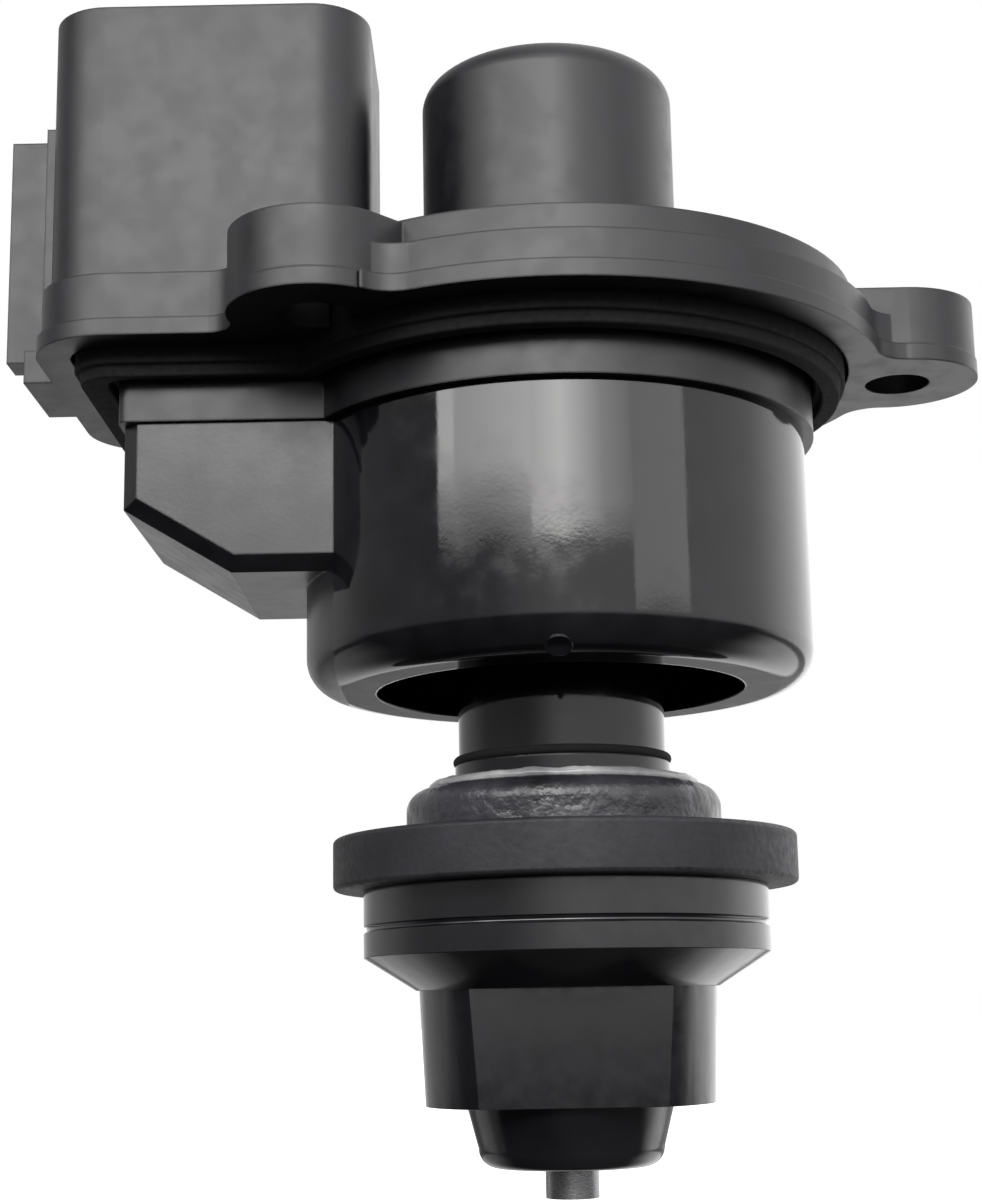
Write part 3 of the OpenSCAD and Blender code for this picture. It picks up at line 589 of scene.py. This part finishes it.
# %% [markdown]
# ## The gate mark
# The plastic runs into the mould through a gate, and leaves a small dished nub where the gate was cut off.
# It is a short cylinder that stands on the can's lower rounding. The camera's ray through the mark's place
# in the photograph gives the spot and the slope. The nub is inset and pushed in, and its edges are bevelled.

# %% Set the gate mark on the can
GATE_AT_PX = (559, 645)
GATE_R_MM, GATE_H_MM, GATE_ROOT_MM = 0.95, 0.12, 0.5
GATE_RIM_MM, GATE_DISH_MM, GATE_EDGE_MM = 0.28, 0.1, 0.05

ray = (forward * FOCAL_PX + right * (GATE_AT_PX[0] - PHOTO_WIDTH_PX / 2)
       - up * (GATE_AT_PX[1] - PHOTO_HEIGHT_PX / 2)).normalized()
hit, spot, slope, _ = NODES["motor_case"].ray_cast(CAMERA_AT, ray)
gate = new_piece("gate_mark", bpy.ops.mesh.primitive_cylinder_add, vertices=32, radius=GATE_R_MM * MM,
                 depth=(GATE_H_MM + GATE_ROOT_MM) * MM,
                 location=(0, 0, (GATE_H_MM - GATE_ROOT_MM) / 2 * MM))
bpy.ops.object.transform_apply(location=True, rotation=True, scale=True)
pick(gate, "FACE", lambda f: f.normal.z > 0.9)
bpy.ops.mesh.inset(thickness=GATE_RIM_MM * MM)
bpy.ops.transform.translate(value=(0, 0, -GATE_DISH_MM * MM))
pick(gate, "EDGE", lambda e: all(v.co.z > 0.02 * MM for v in e.verts)
     and all(v.co.xy.length > 0.9 * GATE_R_MM * MM for v in e.verts))
bpy.ops.mesh.bevel(offset=GATE_EDGE_MM * MM, segments=3)
only(gate)
gate.matrix_world = Matrix.Translation(spot) @ slope.to_track_quat("Z", "Y").to_matrix().to_4x4()
settle(gate, "housing", case_finish)
print("gate mark on the can:", hit, [round(v / MM, 2) for v in spot])

# %% [markdown]
# ## The bearing cages
# Each ball bearing has nine balls, and a pressed steel cage keeps them apart. A cage starts as an open
# cylinder between the two rings, with enough segments and three bands. The faces round each ball are
# deleted, which cuts its window, and a solidify modifier gives the strip its thickness. Its height and its
# windows are measured in ball radii, so they follow the bearing.

# %% Cut the cages
BALLS = 9
CAGE_HEIGHT_BALLS = 2.9
WINDOW_BALLS = 1.12


def cut_cage(half, thickness_mm):
    """Makes the cage of one bearing round the balls of the solid."""
    ball_low, ball_high = (Vector(corner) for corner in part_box(f"{half}_bearing_balls"))
    ball_r = (ball_high.z - ball_low.z) / 2
    middle_z = (ball_high.z + ball_low.z) / 2
    track_r = ball_high.x - ball_r
    window_angle = WINDOW_BALLS * ball_r / track_r

    def beside_a_ball(face):
        centre = face.calc_center_median()
        turn_from_ball = (math.atan2(centre.y, centre.x) * BALLS / FULL_TURN + 0.5) % 1 - 0.5
        return (abs(centre.z - middle_z) < 0.5 * ball_r
                and abs(turn_from_ball) * FULL_TURN / BALLS < window_angle)

    cage = new_piece(f"{half}_bearing_cage", bpy.ops.mesh.primitive_cylinder_add, vertices=16 * BALLS,
                     radius=track_r, depth=CAGE_HEIGHT_BALLS * ball_r, end_fill_type="NOTHING",
                     location=(0, 0, middle_z))
    bpy.ops.object.transform_apply(location=True, rotation=True, scale=True)
    for side in (-1, 1):
        pick_all(cage)
        bpy.ops.mesh.bisect(plane_co=(0, 0, middle_z + side * WINDOW_BALLS * ball_r), plane_no=(0, 0, 1))
    pick(cage, "FACE", beside_a_ball)
    bpy.ops.mesh.delete(type="FACE")
    bpy.ops.object.mode_set(mode="OBJECT")
    apply_modifier(cage, "SOLIDIFY", thickness=thickness_mm * MM, offset=0)
    settle(cage, BODY_OF[f"{half}_bearing_balls"], bearing_finish)


cut_cage("front", 0.2)
cut_cage("rear", 0.3)

# %% [markdown]
# ## The floor and the light
# The photograph has a white ground, a broad soft light above the camera and a white card at its right.
# The lower edge of the broad light shows as the straight lower edge of the highlight on the can, so each
# panel of light is given by the directions in which the can would see its edges.
# The floor is a pale sheet lit from below, as on a light table, and lies under the plug's lowest reach.
# It is kept out of reflections and of bounced light, because the surroundings already stand for it there.

# %% Make the floor and the light
FLOOR_DROP = 14 * MM
FLOOR_SIZE = 12.0
CLOUD_ON_PAPER_MM = 400
LIGHT_DISTANCE = 0.62
LIGHT_CENTRE = Vector((0, 0, -12 * MM))

floor = new_piece("floor", bpy.ops.mesh.primitive_plane_add, size=FLOOR_SIZE,
                  location=(0, 0, cad_box[0][2] - FLOOR_DROP))
bpy.ops.object.transform_apply(location=True, rotation=True, scale=True)
paper, tree, place = new_finish("pale_light_table")
cloud = speckle(tree, place, CLOUD_ON_PAPER_MM, 0, 1)
close(tree, {"Base Color": two_tones(tree, cloud, "#f2f2f2", "#fafafa"), "Roughness": 0.9,
             "Emission Color": linear("#ffffff"), "Emission Strength": 0.85})
floor.data.materials.append(paper)
floor.visible_glossy = False
floor.visible_diffuse = False


def light_panel(name, azimuths, radiances, heights=(12.6, 13.4, 34), foot_share=0.5, tint=(1, 1, 1)):
    """An upright panel of soft light between two azimuths and two heights, all in degrees.

    Azimuth 0 is the camera's side, and a positive one is to its right. Heights are angles above the
    horizon. The panel's brightness goes from the first radiance at its left side to the second at its
    right side. Its foot has only a share of it, and full brightness starts at the middle height.
    """
    middle = math.radians(sum(azimuths) / 2)
    width = 2 * LIGHT_DISTANCE * math.tan(math.radians(azimuths[1] - azimuths[0]) / 2)
    low, full, high = (LIGHT_DISTANCE * math.tan(math.radians(angle)) for angle in heights)
    light = bpy.data.lights.new(name, "AREA")
    light.shape = "RECTANGLE"
    light.size, light.size_y = width, high - low
    # With this energy, the emission's strength is the radiance of the panel
    light.energy = math.pi * width * (high - low)
    light.color = tint
    light.use_nodes = True
    tree = light.node_tree
    tree.nodes.clear()
    spot = add(tree, "SeparateXYZ", {"Vector": add(tree, "NewGeometry").outputs["Parametric"]})
    across = spread(tree, spot.outputs["X"], *radiances)
    rise = ramp(tree, spot.outputs["Y"], 0, (full - low) / (high - low), foot_share, 1)
    glow = add(tree, "Emission", {"Strength": product(tree, across, rise)})
    add(tree, "OutputLight", {"Surface": glow.outputs["Emission"]})
    lamp = bpy.data.objects.new(name, light)
    bpy.context.scene.collection.objects.link(lamp)
    away = Vector((math.sin(middle), -math.cos(middle), 0))
    lamp.location = LIGHT_CENTRE + away * LIGHT_DISTANCE + Vector((0, 0, (low + high) / 2))
    lamp.rotation_euler = away.to_track_quat("Z", "Y").to_euler()
    lamp.visible_camera = False


WARM = (1.0, 0.985, 0.975)
SLOW_FOOT = (12.6, 15.9, 34)
light_panel("key_far_left", (-54, -46), (7.0, 7.4), SLOW_FOOT, 0.25, WARM)
light_panel("key_high_left", (-78, -54), (1.6, 2.8), (18, 20, 34), tint=WARM)
light_panel("key_left", (-46, -12), (5.2, 7.2), SLOW_FOOT, 0.25, WARM)
light_panel("key_middle", (-12, 1), (6.6, 8.9), tint=WARM)
light_panel("key_right", (1, 19), (8.9, 3.3), tint=WARM)
light_panel("key_right_edge", (19, 31.5), (3.3, 1.7), tint=WARM)
light_panel("right_card", (31.5, 57), (1.35, 1.45), (10, 11, 30))

# %% [markdown]
# ## White surroundings
# The world is white where the camera sees it. For the part it is bright behind to the right, dimmer behind
# to the left and in front, and dark straight below, which gives the pale right rims and the dark undersides
# that the photograph shows. The far edge of the table is a dim strip a little below eye level, and it tones
# down the ring under the can. Every ramp goes by one part of the direction in which a ray leaves: X to the
# right, Y away from the camera and Z up, each between -1 and 1.

# %% Make the surroundings
TABLE_EDGE_Z = -0.16

world = bpy.data.worlds.new("studio")
bpy.context.scene.world = world
world.use_nodes = True
tree = world.node_tree
tree.nodes.clear()
way = add(tree, "SeparateXYZ", {"Vector": add(tree, "TexCoord").outputs["Generated"]})
x, y, z = way.outputs["X"], way.outputs["Y"], way.outputs["Z"]
front_glow = ramp(tree, x, -0.7, 0.1, 0.3, 1.15)
front_level = ramp(tree, z, -0.05, 0.035, 0.08, 1)
back_glow = ramp(tree, x, -0.6, 0.6, 0.5, 1.6)
back_level = ramp(tree, z, -0.8, -0.45, 0.05, 1)
from_edge = add(tree, "Math", {0: z, 1: TABLE_EDGE_Z}, operation="SUBTRACT").outputs[0]
edge_gap = add(tree, "Math", {0: from_edge}, operation="ABSOLUTE").outputs[0]
edge_shade = ramp(tree, edge_gap, 0.04, 0.09, 0.25, 1)
front = product(tree, front_glow, front_level)
back = product(tree, product(tree, back_glow, back_level), edge_shade)
lit = blend(tree, ramp(tree, y, 0, 0.5, 0, 1), front, back)
strength = blend(tree, add(tree, "LightPath").outputs["Is Camera Ray"], lit, 1.0)
backdrop = add(tree, "Background", {"Color": (1, 1, 1, 1), "Strength": strength})
add(tree, "OutputWorld", {"Surface": backdrop.outputs["Background"]})

view = bpy.context.scene.view_settings
view.view_transform = "Standard"
view.look = "None"
print("surroundings ready")
